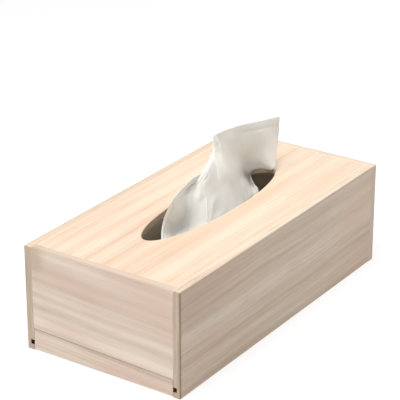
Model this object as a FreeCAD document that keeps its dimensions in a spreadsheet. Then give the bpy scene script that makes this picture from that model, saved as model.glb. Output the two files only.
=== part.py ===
import FreeCAD, Part
import os
import Sketcher
from FreeCAD import Vector

# A wooden tissue box. Four thin boards stand on edge round an inset top with an
# oval slot. The long sides carry a groove each, and a thin bottom slides in these
# grooves until it meets a third groove in the closed end. A strip glued to the
# front edge of the bottom closes the gap below the shorter end panel.
#
# Frame: origin at the centre of the base, X along the box with the sliding end at
# -X, Y across it, Z up. Millimetres.

SIZES = {
    # overall
    "box_length": 266.0,
    "box_width": 132.0,
    "box_height": 80.5,
    # boards
    "side_thick": 6.0,
    "end_thick": 6.0,
    "top_thick": 5.0,
    "bottom_thick": 3.0,
    "strip_thick": 6.0,
    # the seam between end panel and strip runs slightly out of level
    "strip_tall": 16.8,
    "strip_short": 13.2,
    # oval slot in the top, cut a little off centre and out of line with the sides
    "oval_length": 161.0,
    "oval_width": 41.0,
    "oval_shift": 2.3,
    "oval_skew": 1.5,
    # grooves for the sliding bottom
    "groove_rise": 4.2,
    "groove_depth": 3.0,
    "tongue_length": 2.5,
    # clearances
    "slide_gap": 0.3,
    "seam_gap": 0.4,
    "foot_gap": 0.4,
    # eased arrises
    "edge_round": 0.6,
    "end_round": 1.2,
    "rim_round": 0.8,
    "lead_bevel": 0.6,
    # the pile of folded tissues, by the room left round it, and the one pulled out
    "pile_side_room": 10.0,
    "pile_end_room": 27.0,
    "pile_height": 24.0,
    "pile_round": 3.0,
    "sheet_thick": 1.2,
    "sheet_rise": 52.0,
}

TOLERANCE = 1e-4


class Size:
    """A length that keeps its value together with the expression that gives it."""

    def __init__(self, value, text):
        self.value = value
        self.text = text

    def _join(self, other, sign, value):
        right = other.text if isinstance(other, Size) else repr(float(other))
        return Size(value, f"({self.text} {sign} {right})")

    def __add__(self, other):
        return self._join(other, "+", self.value + number(other))

    def __sub__(self, other):
        return self._join(other, "-", self.value - number(other))

    def __mul__(self, other):
        return self._join(other, "*", self.value * number(other))

    def __truediv__(self, other):
        return self._join(other, "/", self.value / number(other))


def number(size):
    return size.value if isinstance(size, Size) else float(size)


def make_sheet(doc):
    """Spreadsheet of driving dimensions: the name in column A, the size in B."""
    sheet = doc.addObject("Spreadsheet::Sheet", "sizes")
    for row, (alias, value) in enumerate(SIZES.items(), start=1):
        sheet.set(f"A{row}", alias)
        sheet.set(f"B{row}", str(value))
        sheet.setAlias(f"B{row}", alias)
    doc.recompute()
    return {alias: Size(float(getattr(sheet, alias)), f"sizes.{alias}") for alias in SIZES}


# ---------------------------------------------------------------- sketch helpers

def new_body(doc, label, place):
    """A body with its own local origin, put at `place` (x, y, z) in the box."""
    body = doc.addObject("PartDesign::Body", label)
    body.Label = label
    for axis, size in zip("xyz", place):
        body.setExpression(f"Placement.Base.{axis}", size.text)
    return body


def new_sketch(body, name, plane, lift=None):
    """A sketch on one of the body's origin planes, lifted along its normal."""
    sketch = body.newObject("Sketcher::SketchObject", name)
    origin_plane = next(o for o in body.Origin.OriginFeatures if o.Role == plane)
    sketch.AttachmentSupport = [(origin_plane, "")]
    sketch.MapMode = "FlatFace"
    if lift is not None:
        sketch.setExpression("AttachmentOffset.Base.z", lift.text)
    return sketch


def fix_point(sketch, geometry, point, across, up):
    """Tie one point to the sketch origin by its two coordinates."""
    for kind, axis, size in (("DistanceX", -2, across), ("DistanceY", -1, up)):
        if number(size) == 0.0:
            sketch.addConstraint(Sketcher.Constraint("PointOnObject", geometry, point, axis))
            continue
        at = sketch.addConstraint(
            Sketcher.Constraint(kind, -1, 1, geometry, point, size.value))
        sketch.setExpression(f"Constraints[{at}]", size.text)


def outline(sketch, corners):
    """Closed outline of straight lines through corners given as pairs of sizes."""
    spots = [Vector(number(across), number(up), 0) for across, up in corners]
    count = len(spots)
    lines = [sketch.addGeometry(Part.LineSegment(spots[i], spots[(i + 1) % count]))
             for i in range(count)]
    for i, (across, up) in enumerate(corners):
        sketch.addConstraint(
            Sketcher.Constraint("Coincident", lines[i - 1], 2, lines[i], 1))
        fix_point(sketch, lines[i], 1, across, up)


def rectangle(sketch, left, low, right, high):
    outline(sketch, [(left, low), (right, low), (right, high), (left, high)])


def oval(sketch, centre_x, centre_y, length, width, skew):
    """Ellipse along the sketch's X axis, with its far tip lower than its centre by skew."""
    centre = Vector(centre_x.value, centre_y.value, 0)
    reach = (number(length / 2) ** 2 - skew.value ** 2) ** 0.5
    tip = centre + Vector(reach, -skew.value, 0)
    flank = centre + Vector(skew.value, reach, 0) * (width.value / length.value)
    curve = sketch.addGeometry(Part.Ellipse(tip, flank, centre))
    sketch.exposeInternalGeometry(curve)
    major, minor = curve + 1, curve + 2
    fix_point(sketch, curve, 3, centre_x, centre_y)
    far_end = 1 if sketch.Geometry[major].StartPoint.x > centre.x else 2
    level = centre_y - skew
    at = sketch.addConstraint(
        Sketcher.Constraint("DistanceY", -1, 1, major, far_end, level.value))
    sketch.setExpression(f"Constraints[{at}]", level.text)
    for axis, size in ((major, length), (minor, width)):
        at = sketch.addConstraint(Sketcher.Constraint("Distance", axis, size.value))
        sketch.setExpression(f"Constraints[{at}]", size.text)


def pad(body, sketch, name, length):
    feature = body.newObject("PartDesign::Pad", name)
    feature.Profile = sketch
    feature.setExpression("Length", length.text)
    body.Document.recompute()
    return feature


def pocket(body, sketch, name, depth, volume):
    """Cut the sketch along its normal, and check that it took `volume` away."""
    before = body.Shape.Volume
    feature = body.newObject("PartDesign::Pocket", name)
    feature.Profile = sketch
    feature.setExpression("Length", depth.text)
    feature.Reversed = True
    body.Document.recompute()
    cut = before - body.Shape.Volume
    if abs(cut - volume) > 0.01 * volume:
        raise RuntimeError(f"{name} cut {cut:.1f} mm3 and should cut {volume:.1f} mm3")
    return feature


def lies_on(**coordinates):
    """Test for edges that lie in every given plane, such as x=0 and z=80."""
    def test(edge):
        box = edge.BoundBox
        limits = {"x": (box.XMin, box.XMax), "y": (box.YMin, box.YMax),
                  "z": (box.ZMin, box.ZMax)}
        return all(abs(limit - number(size)) < TOLERANCE
                   for axis, size in coordinates.items() for limit in limits[axis])
    return test


def ease(body, kind, name, amount, tests):
    """Fillet or chamfer of the body's edges that pass one of the tests."""
    base = body.Tip
    edges = [f"Edge{i}" for i, edge in enumerate(base.Shape.Edges, start=1)
             if any(test(edge) for test in tests)]
    if len(edges) < len(tests):
        raise RuntimeError(f"{name} found {len(edges)} edges for {len(tests)} places")
    feature = body.newObject(f"PartDesign::{kind}", name)
    feature.Base = (base, edges)
    feature.setExpression("Radius" if kind == "Fillet" else "Size", amount.text)
    body.Document.recompute()
    return feature


# ---------------------------------------------------------------------- boards

def groove_levels(size):
    """Lower and upper level of the grooves, which clear the bottom by the slide gap."""
    low = size["groove_rise"]
    return low, low + size["bottom_thick"] + size["slide_gap"] * 2


def long_side(doc, size, label, is_front):
    """Board with a groove for the sliding bottom along its inner face.

    The groove runs out at the open end, where it shows as a small square hole.
    """
    thick, height = size["side_thick"], size["box_height"]
    groove_low, groove_high = groove_levels(size)
    half_length, half_width = size["box_length"] / 2, size["box_width"] / 2
    zero = thick * 0
    if is_front:
        outer, inner, floor = zero, thick, thick - size["groove_depth"]
        low_y = half_width * -1
    else:
        outer, inner, floor = thick, zero, size["groove_depth"]
        low_y = half_width - thick
    body = new_body(doc, label, (half_length * -1, low_y, zero))
    section = new_sketch(body, label + "_section", "YZ_Plane")
    outline(section, [(outer, zero), (inner, zero), (inner, groove_low),
                      (floor, groove_low), (floor, groove_high), (inner, groove_high),
                      (inner, height), (outer, height)])
    pad(body, section, label + "_board", size["box_length"] - size["end_thick"])
    ease(body, "Fillet", label + "_arrises", size["edge_round"],
         [lies_on(y=outer, z=0), lies_on(y=outer, z=height), lies_on(y=outer, x=0)])
    return body


def closed_end(doc, size):
    """Full-height end board that covers the ends of the long sides.

    A stopped groove in its inner face takes the far edge of the sliding bottom.
    """
    thick, height, width = size["end_thick"], size["box_height"], size["box_width"]
    groove_low, groove_high = groove_levels(size)
    stop = size["side_thick"] - size["groove_depth"]
    zero = thick * 0
    place = (size["box_length"] / 2 - thick, width / -2, zero)
    body = new_body(doc, "closed_end_panel", place)
    face = new_sketch(body, "closed_end_face", "YZ_Plane")
    rectangle(face, zero, zero, width, height)
    pad(body, face, "closed_end_board", thick)
    groove = new_sketch(body, "closed_end_groove_outline", "YZ_Plane")
    rectangle(groove, stop, groove_low, width - stop, groove_high)
    tall = groove_high.value - groove_low.value
    volume = (width - stop * 2).value * tall * size["groove_depth"].value
    pocket(body, groove, "closed_end_groove", size["groove_depth"], volume)
    ease(body, "Fillet", "closed_end_arrises", size["edge_round"],
         [lies_on(x=thick, z=height), lies_on(x=thick, z=0), lies_on(x=thick, y=0),
          lies_on(x=thick, y=width), lies_on(y=0, z=height), lies_on(y=width, z=height)])
    return body


def open_end(doc, size):
    """Shorter end board between the long sides, cut slightly out of level below."""
    width = size["box_width"] - size["side_thick"] * 2
    height = size["box_height"]
    zero = width * 0
    body = new_body(doc, "open_end_panel",
                    (size["box_length"] / -2, width / -2, zero))
    face = new_sketch(body, "open_end_face", "YZ_Plane")
    outline(face, [(zero, size["strip_short"] + size["seam_gap"]),
                   (width, size["strip_tall"] + size["seam_gap"]),
                   (width, height), (zero, height)])
    pad(body, face, "open_end_board", size["end_thick"])
    ease(body, "Fillet", "open_end_arris", size["end_round"], [lies_on(x=0, z=height)])
    return body


def top(doc, size):
    """Board set flush between the four walls, with the oval slot."""
    length = size["box_length"] - size["end_thick"] * 2
    width = size["box_width"] - size["side_thick"] * 2
    thick = size["top_thick"]
    body = new_body(doc, "top_panel",
                    (length / -2, width / -2, size["box_height"] - thick))
    face = new_sketch(body, "top_face", "XY_Plane")
    rectangle(face, length * 0, width * 0, length, width)
    oval(face, length / 2 + size["oval_shift"], width / 2, size["oval_length"],
         size["oval_width"], size["oval_skew"])
    pad(body, face, "top_board", thick)

    def on_rim(edge):
        box = edge.BoundBox
        inside = box.XMin > TOLERANCE and box.XMax < length.value - TOLERANCE
        flat = abs(box.ZMin - thick.value) + abs(box.ZMax - thick.value) < TOLERANCE
        return inside and flat
    ease(body, "Fillet", "top_rim", size["rim_round"], [on_rim])
    return body


# -------------------------------------------------------------- sliding bottom

def bottom_board(doc, size):
    """Thin board in the grooves, with a tongue in front for the pull strip.

    Its far edge and both side edges have a lead-in bevel, so that it enters the
    grooves easily.
    """
    side_run = size["groove_depth"] - size["slide_gap"]
    inner_width = size["box_width"] - size["side_thick"] * 2
    width = inner_width + side_run * 2
    shoulder = side_run + size["slide_gap"]
    tongue = size["tongue_length"]
    front = size["strip_thick"] - tongue
    length = size["box_length"] - front - size["end_thick"] + side_run
    zero = width * 0
    place = (size["box_length"] / -2 + front, width / -2,
             size["groove_rise"] + size["slide_gap"])
    body = new_body(doc, "sliding_bottom", place)
    plan = new_sketch(body, "bottom_plan", "XY_Plane")
    outline(plan, [(zero, shoulder), (tongue, shoulder), (tongue, zero), (length, zero),
                   (length, width), (tongue, width), (tongue, width - shoulder),
                   (zero, width - shoulder)])
    pad(body, plan, "bottom_board", size["bottom_thick"])
    thick = size["bottom_thick"]
    ease(body, "Chamfer", "bottom_lead_in", size["lead_bevel"],
         [lies_on(x=length, z=thick), lies_on(x=length, z=0), lies_on(y=0, z=thick),
          lies_on(y=0, z=0), lies_on(y=width, z=thick), lies_on(y=width, z=0)])
    return body


def pull_strip(doc, size):
    """Strip glued along the front tongue of the bottom, by which it is pulled out."""
    gap, foot, thick = size["slide_gap"], size["foot_gap"], size["strip_thick"]
    width = size["box_width"] - size["side_thick"] * 2 - gap * 2
    tongue = size["tongue_length"]
    slot_low = size["groove_rise"] + gap - foot
    zero = width * 0
    body = new_body(doc, "bottom_pull_strip",
                    (size["box_length"] / -2, width / -2, foot))
    face = new_sketch(body, "strip_face", "YZ_Plane")
    outline(face, [(zero, zero), (width, zero), (width, size["strip_tall"] - foot),
                   (zero, size["strip_short"] - foot)])
    pad(body, face, "strip_board", thick)
    slot = new_sketch(body, "strip_slot_outline", "YZ_Plane", lift=thick - tongue)
    rectangle(slot, zero, slot_low, width, slot_low + size["bottom_thick"])
    volume = (width * size["bottom_thick"] * tongue).value
    pocket(body, slot, "strip_slot", tongue, volume)
    ease(body, "Fillet", "strip_arris", size["edge_round"], [lies_on(x=0, z=0)])
    return body


# --------------------------------------------------------------------- tissues

def stack_floor(size):
    """Level on which the pile of tissues lies: the top face of the bottom board."""
    return size["groove_rise"] + size["slide_gap"] + size["bottom_thick"]


def tissue_stack(doc, size):
    """Part-used pile of interfolded tissues, rounded where the sheets fold."""
    length = size["box_length"] - size["end_thick"] * 2 - size["pile_end_room"] * 2
    width = size["box_width"] - size["side_thick"] * 2 - size["pile_side_room"] * 2
    height = size["pile_height"]
    zero = width * 0
    body = new_body(doc, "tissue_stack",
                    (length / -2, width / -2, stack_floor(size) + size["slide_gap"]))
    section = new_sketch(body, "stack_section", "YZ_Plane")
    rectangle(section, zero, zero, width, height)
    pad(body, section, "stack_pile", length)
    ease(body, "Fillet", "stack_folds", size["pile_round"],
         [lies_on(y=0, z=0), lies_on(y=0, z=height), lies_on(y=width, z=0),
          lies_on(y=width, z=height)])
    return body


# Plan of the pulled sheet at three levels, in half lengths and half widths of the
# oval from the middle of the box: gathered over the pile, in the slot, and at the top
# of the flap.
SHEET_OVER_PILE = [(-0.92, -0.10), (-0.40, -0.12), (0.20, -0.05), (0.92, 0.05)]
SHEET_IN_SLOT = [(-0.89, -0.23), (-0.62, -0.59), (-0.25, -0.82), (0.10, -0.84),
                 (0.38, -0.70), (0.56, -0.15), (0.74, 0.18), (0.95, 0.08)]
SHEET_AT_TOP = [(-0.90, -0.30), (-0.45, -0.05), (0.05, 0.18), (0.50, 0.20), (1.20, -0.15)]

# Upper outline of the sheet seen from the long side: half lengths of the oval from
# its centre, and shares of the height that the sheet reaches above the top.
SHEET_OUTLINE = [(-0.88, 0.00), (-0.76, 0.12), (-0.62, 0.29), (-0.45, 0.43),
                 (-0.26, 0.51), (-0.10, 0.55), (0.00, 0.66), (0.05, 0.86),
                 (0.15, 0.98), (0.28, 0.99), (0.60, 0.90), (1.12, 0.75)]


def sheet_section(shares, half_length, half_width, thick, level):
    """Closed wire round a thin wavy strip in the plane z = level."""
    middle = Part.BSplineCurve()
    middle.interpolate([Vector(across * half_length, along * half_width, level)
                        for across, along in shares])
    count = 4 * len(shares)
    start, end = middle.FirstParameter, middle.LastParameter
    left, right = [], []
    for i in range(count + 1):
        at = start + (end - start) * i / count
        tangent = middle.tangent(at)[0]
        normal = Vector(-tangent.y, tangent.x, 0) * (thick / 2)
        left.append(middle.value(at) + normal)
        right.append(middle.value(at) - normal)
    edges = []
    for side in (left, list(reversed(right))):
        curve = Part.BSplineCurve()
        curve.interpolate(side)
        edges.append(curve.toShape())
    caps = [Part.LineSegment(left[-1], right[-1]).toShape(),
            Part.LineSegment(right[0], left[0]).toShape()]
    return Part.Wire([edges[0], caps[0], edges[1], caps[1]])


def pulled_tissue(doc, size):
    """The uppermost sheet, drawn up through the slot and standing over the top.

    It rises from the middle of the pile, lies along the near rim of the slot, leans
    back from there and ends in a flap that stands over the far half of the slot.
    """
    half_length, half_width = size["oval_length"].value / 2, size["oval_width"].value / 2
    thick, rise = size["sheet_thick"].value, size["sheet_rise"].value
    table = size["box_height"].value
    foot = (stack_floor(size) + size["pile_height"] + size["slide_gap"] * 2).value
    slot = table - size["top_thick"].value / 2
    head = table + rise + thick
    levels = ((SHEET_OVER_PILE, foot), (SHEET_IN_SLOT, slot), (SHEET_AT_TOP, head))
    body = Part.makeLoft([sheet_section(shares, half_length, half_width, thick, level)
                          for shares, level in levels], True, False)

    crest = [Vector(across * half_length, 0, table + up * rise)
             for across, up in SHEET_OUTLINE]
    curve = Part.BSplineCurve()
    curve.interpolate(crest)
    edges = [(SHEET_IN_SLOT[-1], slot), (SHEET_OVER_PILE[-1], foot),
             (SHEET_OVER_PILE[0], foot), (SHEET_OUTLINE[0], slot)]
    corners = [crest[-1]]
    corners += [Vector(shares[0] * half_length, 0, level) for shares, level in edges]
    corners += [crest[0]]
    sides = [Part.LineSegment(a, b).toShape() for a, b in zip(corners, corners[1:])]
    elevation = Part.Face(Part.Wire([curve.toShape()] + sides))
    elevation.translate(Vector(0, -2 * half_width, 0))
    window = elevation.extrude(Vector(0, 4 * half_width, 0))
    solid = body.common(window).Solids[0]

    feature = doc.addObject("Part::Feature", "pulled_tissue")
    feature.Label = "pulled_tissue"
    feature.Shape = solid
    feature.Placement = FreeCAD.Placement()
    return feature


# ------------------------------------------------------------------------ model

def check(doc, parts):
    for item in doc.Objects:
        if "Invalid" in item.State or "Error" in item.State:
            raise RuntimeError(f"{item.Name} failed to compute: {item.State}")
    for part in parts:
        shape = part.Shape
        if shape.isNull() or not shape.isValid() or len(shape.Solids) != 1:
            raise RuntimeError(f"{part.Label} isn't one valid solid")


def main():
    doc = FreeCAD.newDocument("TissueBox")
    size = make_sheet(doc)
    parts = [
        long_side(doc, size, "front_side_panel", is_front=True),
        long_side(doc, size, "back_side_panel", is_front=False),
        closed_end(doc, size),
        open_end(doc, size),
        top(doc, size),
        bottom_board(doc, size),
        pull_strip(doc, size),
        tissue_stack(doc, size),
        pulled_tissue(doc, size),
    ]
    doc.recompute()
    check(doc, parts)
    os.makedirs("parts", exist_ok=True)
    for part in parts:
        part.Shape.exportStep(f"parts/{part.Label}.step")
        box = part.Shape.BoundBox
        print(f"{part.Label:20s} volume {part.Shape.Volume / 1000:8.2f} cm3  "
              f"x {box.XMin:8.2f} {box.XMax:8.2f}  y {box.YMin:7.2f} {box.YMax:7.2f}  "
              f"z {box.ZMin:7.2f} {box.ZMax:7.2f}")


main()
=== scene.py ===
"""Looks of a plain wooden tissue box, with a tissue drawn up through the slot in its top.

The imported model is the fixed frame. Its boards stay as they are and get their wood, while
the pile of tissues and the pulled sheet are modelled here in place of two plain solids.
Lengths in the boards' and tissues' classes are millimetres, and become metres where a mesh
is made.
"""

import logging
import math
from dataclasses import dataclass
from enum import Enum

import bmesh
import bpy
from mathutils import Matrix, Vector, noise

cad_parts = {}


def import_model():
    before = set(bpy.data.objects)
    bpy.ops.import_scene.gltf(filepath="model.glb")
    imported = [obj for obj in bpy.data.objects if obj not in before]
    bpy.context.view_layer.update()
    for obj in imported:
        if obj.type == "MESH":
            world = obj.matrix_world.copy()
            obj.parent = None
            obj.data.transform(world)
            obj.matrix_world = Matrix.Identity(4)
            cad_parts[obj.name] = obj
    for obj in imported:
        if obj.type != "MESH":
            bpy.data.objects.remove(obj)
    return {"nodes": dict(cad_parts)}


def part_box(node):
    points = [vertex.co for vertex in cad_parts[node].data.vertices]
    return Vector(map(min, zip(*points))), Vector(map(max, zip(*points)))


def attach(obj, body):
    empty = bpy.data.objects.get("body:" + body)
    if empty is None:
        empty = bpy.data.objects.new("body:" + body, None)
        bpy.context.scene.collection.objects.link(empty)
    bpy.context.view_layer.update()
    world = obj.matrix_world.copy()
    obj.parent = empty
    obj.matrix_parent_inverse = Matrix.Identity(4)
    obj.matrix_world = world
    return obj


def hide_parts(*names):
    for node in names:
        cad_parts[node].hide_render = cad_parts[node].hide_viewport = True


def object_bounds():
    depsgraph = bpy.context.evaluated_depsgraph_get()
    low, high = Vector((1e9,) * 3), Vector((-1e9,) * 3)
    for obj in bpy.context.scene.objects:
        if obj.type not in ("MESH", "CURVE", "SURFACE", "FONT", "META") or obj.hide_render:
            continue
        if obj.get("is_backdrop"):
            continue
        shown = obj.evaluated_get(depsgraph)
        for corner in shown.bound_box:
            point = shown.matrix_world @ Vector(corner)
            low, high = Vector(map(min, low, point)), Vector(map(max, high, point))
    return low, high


log = logging.getLogger("tissue_box")

MM = 0.001
FAR = 1.0e6  # a reach so long that distance that way counts for nothing
NO_TONE = 0.5  # grey level of the band ramp that leaves the wood's tone as it is
HEM = 6.5  # width of the pressed double strip along a tissue's leading edge, in millimetres


# ------------------------------------------------------------------------ helpers

def linear(colour: str) -> tuple[float, float, float, float]:
    """Turn an sRGB hex colour into the linear one that shaders take.

    Args:
        colour: six hex digits after a hash.

    Returns:
        Linear red, green and blue, with an alpha of 1.
    """
    parts = [int(colour[i:i + 2], 16) / 255 for i in (1, 3, 5)]
    light = [c / 12.92 if c <= 0.04045 else ((c + 0.055) / 1.055) ** 2.4 for c in parts]
    return (*light, 1.0)


def add_node(tree: bpy.types.NodeTree, kind: str, feeds: dict | None = None,
             **settings: object) -> bpy.types.Node:
    """Add one node with its settings, and with what feeds its inputs.

    Args:
        tree: node tree of the material.
        kind: Blender's name for the kind of node.
        feeds: a socket to link or a plain value, by input name or number.
        settings: attributes of the node.

    Returns:
        The new node.
    """
    node = tree.nodes.new(kind)
    for name, value in settings.items():
        setattr(node, name, value)
    for key, value in (feeds or {}).items():
        if isinstance(value, bpy.types.NodeSocket):
            tree.links.new(value, node.inputs[key])
        else:
            node.inputs[key].default_value = value
    return node


def new_material(name: str) -> tuple[bpy.types.Material, bpy.types.NodeTree]:
    """Make an empty node material.

    Args:
        name: the finish's name.

    Returns:
        The material and its cleared node tree.
    """
    material = bpy.data.materials.new(name)
    material.use_nodes = True
    material.node_tree.nodes.clear()
    return material, material.node_tree


def put_on(piece: bpy.types.Object, material: bpy.types.Material) -> None:
    """Give a piece one material all over.

    Args:
        piece: a mesh object, with or without material slots.
        material: the material for all of its faces.
    """
    if not piece.material_slots:
        piece.data.materials.append(material)
    for place in piece.material_slots:
        place.material = material


def make_piece(name: str, shape: bmesh.types.BMesh, smooth: bool = True) -> bpy.types.Object:
    """Turn a finished bmesh, in metres, into an object at the origin.

    Args:
        name: the piece's name.
        shape: the mesh, which is freed.
        smooth: shade the faces smooth.

    Returns:
        The linked object.
    """
    for face in shape.faces:
        face.smooth = smooth
    mesh = bpy.data.meshes.new(name)
    shape.to_mesh(mesh)
    shape.free()
    piece = bpy.data.objects.new(name, mesh)
    bpy.context.scene.collection.objects.link(piece)
    log.info("%s: %d faces", name, len(mesh.polygons))
    return piece


def put_in_order(shape: bmesh.types.BMesh) -> None:
    """Number a mesh's parts by their places, since a bevel leaves them in any order.

    Args:
        shape: the mesh, in millimetres.
    """
    places = {vert: tuple(round(side, 3) for side in vert.co) for vert in shape.verts}

    def corners(part: bmesh.types.BMEdge | bmesh.types.BMFace) -> list[tuple[float, ...]]:
        """Places of an edge's or a face's corners, in order."""
        return sorted(places[vert] for vert in part.verts)

    for parts, key in ((shape.verts, places.get), (shape.edges, corners),
                       (shape.faces, corners)):
        rank = {part: number for number, part in enumerate(sorted(parts, key=key))}
        parts.sort(key=rank.get)


# ----------------------------------------------------------------------- finishes

class Grain(Enum):
    """Which way a board's grain runs, as the axes along, across and through it."""

    ALONG_X_LYING = "XYZ"
    ALONG_X_ON_EDGE = "XZY"
    ALONG_Y_ON_EDGE = "YZX"


@dataclass(frozen=True)
class GrowthBand:
    """A streak of late wood that runs the length of a board, or of extra pale wood.

    Attributes:
        at: its place across the board, at the board's middle.
        width: how wide it is.
        tone: how dark it is, or below 0 for how pale.
    """

    at: float
    width: float
    tone: float


@dataclass(frozen=True)
class Layer:
    """One layer of the uneven marks that noise draws on the wood.

    Attributes:
        size: size of a mark along, across and through the board.
        shift: keeps this layer apart from the others.
        low: value of the noise at which the marks begin.
        high: value at which they show in full.
        detail: octaves of finer marks within them.
    """

    size: tuple[float, float, float]
    shift: float
    low: float = 0.3
    high: float = 0.7
    detail: float = 2.0


@dataclass(frozen=True)
class Streaks:
    """Streaks of one size, which lie along the grain.

    Attributes:
        length: length of a streak.
        width: its width, across the board and through it.
        swing: how far these streaks move the wood's tone.
        detail: octaves of finer streaks within them.
        shift: keeps streaks apart from the other marks.
    """

    length: float
    width: float
    swing: float
    detail: float = 2.0
    shift: float = 3.0

    def layer(self, number: int) -> Layer:
        """Their layer of noise, which a number keeps apart from the other streaks."""
        return Layer((self.length, self.width, self.width), self.shift + number,
                     detail=self.detail)


@dataclass(frozen=True)
class Patch:
    """A broad soft patch of a board that is darker or paler than the rest.

    Attributes:
        along: its middle, along the grain.
        at: its middle, across the board.
        length: how far it reaches either way along the grain.
        width: how far it reaches either way across the board.
        tone: how dark it is, or below 0 for how pale.
    """

    along: float
    at: float
    length: float
    width: float
    tone: float


@dataclass(frozen=True)
class ShadedCorner:
    """A corner of a board that gets a thin dark line, painted shade on its rounded edge.

    Attributes:
        way: the way the corner looks, between its two faces.
        strength: how dark that painted shade is.
    """

    way: tuple[float, float, float]
    strength: float


@dataclass(frozen=True)
class Paulownia:
    """Paulownia, planed, sanded and left bare.

    Early wood is cream and late wood a pinkish tan, in soft bands about 10 mm apart that
    wander a little and break up into finer streaks, and broad patches of a board are
    darker or paler. With no varnish the light spreads evenly, so the eye sees colour and
    grain and no shine. The narrow edges are creamier, and the sawn ends greyer with the
    rings in fine lines. Inner faces are as pale as fresh wood, and paler still as painted
    light for the dim inside of the box. The grooves are dark brown, painted shade for
    their deep recesses. The corners get a thin dark line, painted shade on their rounded
    edges.

    Attributes:
        name: the material's name.
        grain: which way the grain runs.
        low: where the board starts, across the grain.
        high: where it ends.
        outward: the way its show face looks.
        early: colour of the early wood on the broad faces.
        late: colour of the late wood.
        blush: colour of the pinker patches of early wood.
        edge: colour of the narrow edges along the board.
        end: colour of the sawn ends.
        end_ring: colour of the rings that the saw cut through.
        inner: early wood on the face that looks into the box, paled partly as painted light.
        inner_late: late wood on that face.
        groove_shade: colour of the grooves, painted shade for their deep recesses.
        arris_shade: colour of the painted shade along the rounded corners.
        arris_width: how far the painted shade reaches round a corner.
        corners: the corners that get painted shade.
        bands: the growth bands, by their place across the board.
        band_strength: how far the bands move the wood's tone.
        patches: the broad patches.
        streaks: the finer streaks, from coarse to fine.
        fleck_strength: how dark the short flecks are.
        grooved: whether the sliding bottom runs in this board.
        slant_degrees: how far the grain runs off the board's length.
        wander: how far the bands sway off a straight line.
        seed: which piece of wood it is.
        ground_tone: tone of the wood between the bands.
        band_swing: the least and the most that a band's strength changes along it.
        sway: where the bands sway.
        strengths: where the bands are strong.
        flecks: the short flecks.
        blushes: the pinker patches.
        rings: the rings on the sawn ends.
        pores: the open pores.
        pore_depth: how deep the pores are.
        groove_margin: how far past the sliding bottom its groove's walls lie, across and up.
        arris_range: how squarely a rounded corner looks a shaded corner's way where
        the painted shade begins, and where it is full.
        facing_range: the same for a face and the way it looks.
    """

    name: str
    grain: Grain
    low: float
    high: float
    outward: tuple[float, float, float] = (0.0, 0.0, 1.0)
    early: str = "#E4D4C4"
    late: str = "#CAB4A1"
    blush: str = "#E0C8B8"
    edge: str = "#EAD8C2"
    end: str = "#C9B8A3"
    end_ring: str = "#B7A48F"
    inner: str = "#FAEEDF"
    inner_late: str = "#EBD8C2"
    groove_shade: str = "#5A3A22"
    arris_shade: str = "#76604B"
    arris_width: float = 2.4
    corners: tuple[ShadedCorner, ...] = ()
    bands: tuple[GrowthBand, ...] = ()
    band_strength: float = 1.0
    patches: tuple[Patch, ...] = ()
    streaks: tuple[Streaks, ...] = (
        Streaks(420.0, 7.0, 0.9), Streaks(150.0, 1.9, 1.1), Streaks(55.0, 0.9, 0.8))
    fleck_strength: float = 0.35
    grooved: bool = False
    slant_degrees: float = 0.0
    wander: float = 0.9
    seed: float = 0.0
    ground_tone: float = 0.36
    band_swing: tuple[float, float] = (0.4, 1.8)
    sway: Layer = Layer((90.0, 55.0, 55.0), 7.0)
    strengths: Layer = Layer((45.0, 11.0, 11.0), 9.0)
    flecks: Layer = Layer((20.0, 1.1, 1.1), 15.0, 0.58, 0.74, 1.0)
    blushes: Layer = Layer((120.0, 26.0, 26.0), 17.0, 0.4, 0.65, 1.0)
    rings: Layer = Layer((60.0, 22.0, 1.1), 6.0, 0.35, 0.7)
    pores: Layer = Layer((30.0, 0.9, 0.9), 21.0)
    pore_depth: float = 0.12
    groove_margin: tuple[float, float] = (0.5, 0.4)
    arris_range: tuple[float, float] = (0.74, 0.93)
    facing_range: tuple[float, float] = (0.70, 0.95)

    @property
    def half_width(self) -> float:
        """Half of the board's size across the grain."""
        return (self.high - self.low) / 2

    @property
    def middle(self) -> float:
        """Place of the board's middle, across the grain."""
        return (self.high + self.low) / 2

    def noise(self, tree: bpy.types.NodeTree, place: bpy.types.NodeSocket,
              layer: Layer) -> bpy.types.NodeSocket:
        """Noise drawn out to a layer's size.

        Args:
            tree: node tree of the material.
            place: the board's coordinates in millimetres.
            layer: the layer that the noise is for.

        Returns:
            The noise's value, mostly from 0.3 to 0.7.
        """
        scaled = add_node(tree, "ShaderNodeMapping", {
            "Vector": place, "Scale": tuple(1 / side for side in layer.size),
            "Location": (self.seed + layer.shift, self.seed * 1.7, layer.shift)})
        return add_node(tree, "ShaderNodeTexNoise", {
            "Vector": scaled.outputs[0], "Scale": 1.0, "Detail": layer.detail,
            "Roughness": 0.5}).outputs["Fac"]

    def marks(self, tree: bpy.types.NodeTree, place: bpy.types.NodeSocket, layer: Layer,
              least: float = 0.0, most: float = 1.0,
              clamp: bool = True) -> bpy.types.NodeSocket:
        """Draw a layer's marks.

        Args:
            tree: node tree of the material.
            place: the board's coordinates in millimetres.
            layer: the layer of the marks.
            least: value where there is no mark.
            most: value where a mark shows in full.
            clamp: whether the value stays between these two.

        Returns:
            The value.
        """
        return add_node(tree, "ShaderNodeMapRange", {
            "Value": self.noise(tree, place, layer), "From Min": layer.low,
            "From Max": layer.high, "To Min": least, "To Max": most},
            clamp=clamp).outputs[0]

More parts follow.
